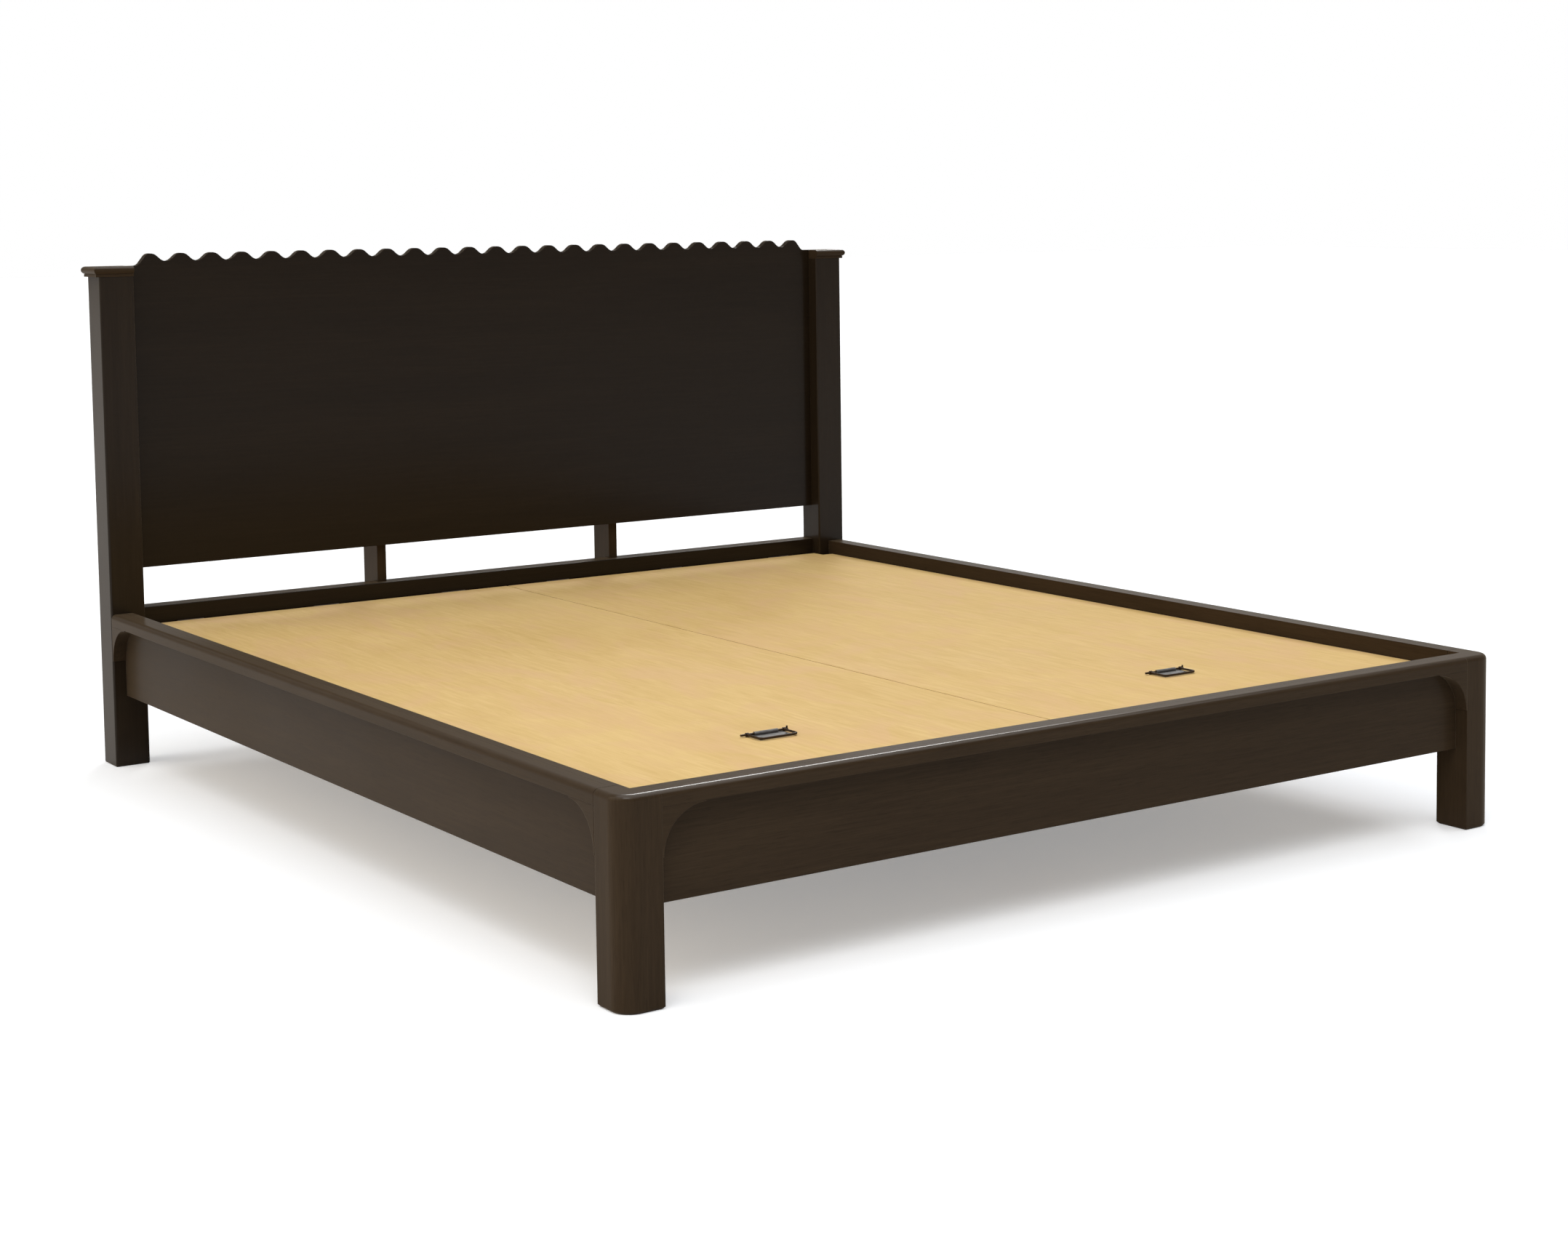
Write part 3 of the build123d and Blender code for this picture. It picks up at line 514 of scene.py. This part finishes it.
# ---------------------------------------------------------------- handle screws
SCREW_HEAD = 0.0034
SCREW_HEAD_HEIGHT = 0.0014
SCREW_SHANK = 0.0016
RECESS_WIDTH = 0.0009
RECESS_REACH = 0.0021
RECESS_DEPTH = 0.0010
DOME_RINGS = 6
TURN_STEPS = 40


def mesh_object(bm, name):
    """Scene object from a finished bmesh."""
    bmesh.ops.recalc_face_normals(bm, faces=bm.faces)
    mesh = bpy.data.meshes.new(name)
    bm.to_mesh(mesh)
    bm.free()
    return add_object(name, mesh)


def lathe(bm, centre, profile):
    """Closed round solid from (radius, height) pairs that start and end on the axis."""
    turns = [2.0 * math.pi * k / TURN_STEPS for k in range(TURN_STEPS)]
    rings = []
    for radius, height in profile[1:-1]:
        rings.append([bm.verts.new(centre + Vector((radius * math.cos(t), radius * math.sin(t), height)))
                      for t in turns])
    first = bm.verts.new(centre + Vector((0, 0, profile[0][1])))
    last = bm.verts.new(centre + Vector((0, 0, profile[-1][1])))
    for k in range(TURN_STEPS):
        n = (k + 1) % TURN_STEPS
        bm.faces.new((first, rings[0][k], rings[0][n]))
        bm.faces.new((last, rings[-1][n], rings[-1][k]))
        for upper, lower in zip(rings, rings[1:]):
            bm.faces.new((upper[k], lower[k], lower[n], upper[n]))


def cross_cutter(bm, middle):
    """Two crossing boxes, centred on the top of a screw head."""
    for half_x, half_y in ((RECESS_WIDTH, RECESS_REACH), (RECESS_REACH, RECESS_WIDTH)):
        for vert in bmesh.ops.create_cube(bm, size=2.0)["verts"]:
            x, y, z = vert.co
            vert.co = Vector((x * half_x, y * half_y, z * RECESS_DEPTH)) + middle


def add_cross_screws(side, material):
    """Two domed wood screws with cross recesses, in place of the plain ones on one lid."""
    node = side + "_handle_screws"
    low, high = (Vector(corner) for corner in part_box(node))
    seat = high.z - SCREW_HEAD_HEIGHT
    middle_y = (low.y + high.y) / 2.0
    dome = [(SCREW_HEAD * math.sin(a), SCREW_HEAD_HEIGHT * math.cos(a))
            for a in (math.pi / 2.0 * k / DOME_RINGS for k in range(DOME_RINGS + 1))]
    shank_end = low.z - seat
    profile = dome + [(SCREW_SHANK, 0.0), (SCREW_SHANK, shank_end), (0.0, shank_end)]
    heads = bmesh.new()
    cutter = bmesh.new()
    for x in (low.x + SCREW_HEAD, high.x - SCREW_HEAD):
        centre = Vector((x, middle_y, seat))
        lathe(heads, centre, profile)
        cross_cutter(cutter, centre + Vector((0, 0, SCREW_HEAD_HEIGHT)))
    piece = mesh_object(heads, side + "_cross_screws")
    tool = mesh_object(cutter, side + "_recess_tool")
    cut = piece.modifiers.new("recess", "BOOLEAN")
    cut.object = tool
    cut.operation = "DIFFERENCE"
    cut.solver = "EXACT"
    cut.use_self = True
    graph = bpy.context.evaluated_depsgraph_get()
    carved = bpy.data.meshes.new_from_object(piece.evaluated_get(graph))
    piece.modifiers.clear()
    piece.data = carved
    bpy.data.objects.remove(tool)
    piece.data.materials.clear()
    piece.data.materials.append(material)
    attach(piece, side + "_lid")
    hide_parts(node)


# ---------------------------------------------------------------- floor and light
FLOOR_HALF = 40.0
FLOOR_COLOUR = (0.845, 0.86, 0.885)
FLOOR_GLOW_COLOUR = (0.965, 0.98, 1.0)
FLOOR_GLOW = 0.29
WORLD_LIT = 0.17
WORLD_SEEN = 1.0
WARM_LIGHT = (1.0, 0.90, 0.74)


def make_floor():
    """Plain pale floor that runs far past the bed, with a glow that only the camera sees."""
    mesh = bpy.data.meshes.new("floor")
    corners = [(-FLOOR_HALF, -FLOOR_HALF, 0.0), (FLOOR_HALF, -FLOOR_HALF, 0.0),
               (FLOOR_HALF, FLOOR_HALF, 0.0), (-FLOOR_HALF, FLOOR_HALF, 0.0)]
    mesh.from_pydata(corners, [], [(0, 1, 2, 3)])
    floor = add_object("floor", mesh)
    m = Nodes("pale_floor")
    m.constants({
        "Base Color": FLOOR_COLOUR, "Roughness": 0.9, "Specular IOR Level": 0.1,
        "Emission Color": FLOOR_GLOW_COLOUR,
    })
    path = m.add("ShaderNodeLightPath")
    m.drive("Emission Strength", m.range(path.outputs["Is Camera Ray"], low=0.0, high=FLOOR_GLOW))
    mesh.materials.append(m.material)


def make_world():
    """Even studio surround: its light on the bed is lower than the white that is seen."""
    world = bpy.data.worlds.new("studio")
    world.use_nodes = True
    tree = world.node_tree
    back = tree.nodes["Background"]
    back.inputs["Color"].default_value = (*WHITE, 1.0)
    path = tree.nodes.new("ShaderNodeLightPath")
    level = tree.nodes.new("ShaderNodeMapRange")
    level.inputs["To Min"].default_value = WORLD_LIT
    level.inputs["To Max"].default_value = WORLD_SEEN
    tree.links.new(path.outputs["Is Camera Ray"], level.inputs["Value"])
    tree.links.new(level.outputs["Result"], back.inputs["Strength"])
    bpy.context.scene.world = world


def turn_light(light, back):
    """Turns a light to shine against the vector back."""
    light.rotation_mode = "QUATERNION"
    light.rotation_quaternion = back.to_track_quat("Z", "Y")


def soft_sun(name, azimuth, elevation, spread, power, colour=WHITE):
    """Even light from one side; a wider spread in degrees makes softer shadows."""
    data = bpy.data.lights.new(name, "SUN")
    data.energy = power
    data.angle = math.radians(spread)
    data.color = colour
    turn_light(add_object(name, data), direction(azimuth, elevation))


def soft_panel(name, place, target, side, power):
    """Square soft panel of light that hangs at a place and faces a target."""
    data = bpy.data.lights.new(name, "AREA")
    data.shape = "SQUARE"
    data.size = side
    data.energy = power
    light = add_object(name, data)
    light.location = place
    turn_light(light, Vector(place) - Vector(target))


def make_lights():
    """Wide light from above, a tight one from behind, a warm wide one from the left, a near panel."""
    soft_sun("overhead", azimuth=20.0, elevation=80.0, spread=80.0, power=2.15)
    soft_sun("softbox", azimuth=142.0, elevation=34.0, spread=16.0, power=0.65)
    soft_sun("left_key", azimuth=-100.0, elevation=16.0, spread=80.0, power=1.65, colour=WARM_LIGHT)
    soft_panel("near_fill", place=(-1.9, -2.6, 3.0), target=(-0.4, -0.7, 0.3), side=1.6, power=29.0)


# ---------------------------------------------------------------- scene
bpy.context.scene.view_settings.view_transform = "Standard"
make_camera()
paint_nodes()
ease_edges()
screw_steel = plated_steel("screw_plate", SCREW_STEEL, rough=0.45)
for side in SIDES:
    add_cross_screws(side, screw_steel)
make_floor()
make_world()
make_lights()
